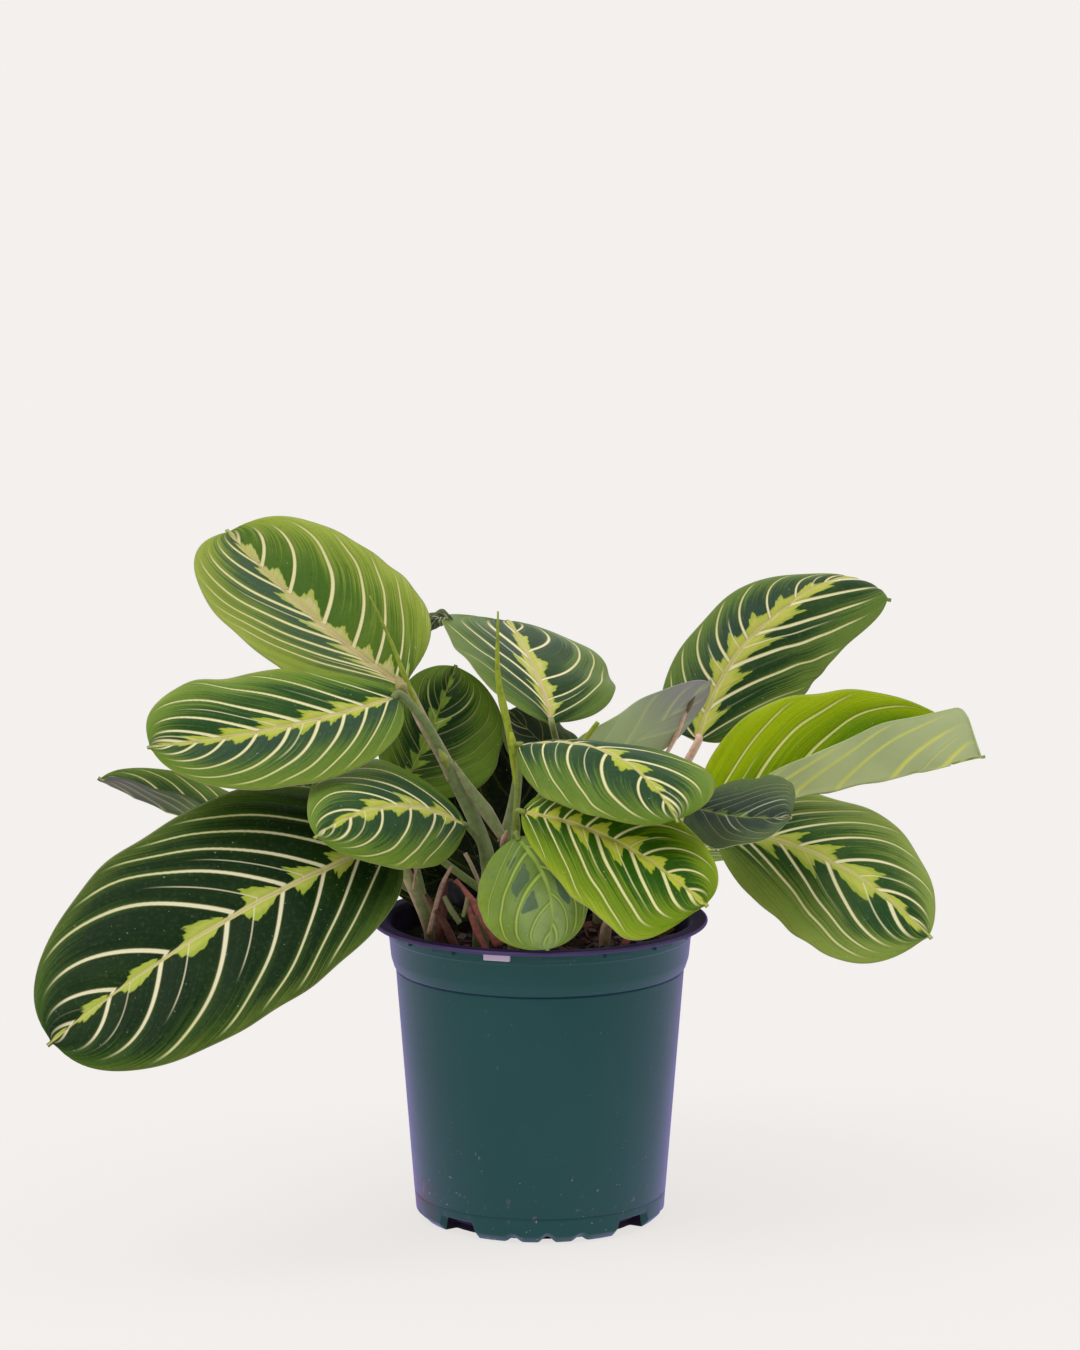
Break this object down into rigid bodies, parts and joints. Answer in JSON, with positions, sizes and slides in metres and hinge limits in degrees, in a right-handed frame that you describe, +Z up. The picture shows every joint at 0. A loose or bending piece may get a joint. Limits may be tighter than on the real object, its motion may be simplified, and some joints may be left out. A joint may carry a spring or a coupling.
{
  "type": "potted foliage plant",
  "caption": "Low potted foliage plant with broad patterned oval leaves on slim stalks, rooted in soil in a tapered nursery pot with a wide rim.",
  "frame": {"origin": "centre of the pot's foot, on the surface that the pot stands on", "axes": "+Z up, +X to the right along the plant's longest extent, +Y to the back"},
  "size_m": [0.3113, 0.2165, 0.2339],
  "materials": {
    "pot": "satin",
    "soil": "matte",
    "stem": "satin",
    "leaf": "satin"
  },
  "bodies": {
    "root": {"pot": "pot", "soil": "soil", "stem_main": "stem", "stem_front": "stem", "stem_left": "stem", "stem_left_back": "stem", "stem_right": "stem", "stem_back": "stem", "stem_rear": "stem", "stem_rear_right": "stem", "leaf_front_left": "leaf", "leaf_top_left": "leaf", "leaf_mid_left": "leaf", "leaf_centre_left": "leaf", "leaf_far_left": "leaf", "leaf_behind_left": "leaf", "leaf_centre_back": "leaf", "leaf_dark_back": "leaf", "leaf_under_right": "leaf", "leaf_upper_right": "leaf", "leaf_rolled": "leaf", "leaf_lower_right": "leaf", "leaf_small_dark": "leaf", "leaf_front_centre": "leaf", "leaf_front_lower": "leaf", "leaf_young_round": "leaf", "leaf_rear_left": "leaf", "leaf_rear_centre": "leaf", "leaf_rear_right": "leaf", "leaf_side_right": "leaf"}
  },
  "joints": []
}
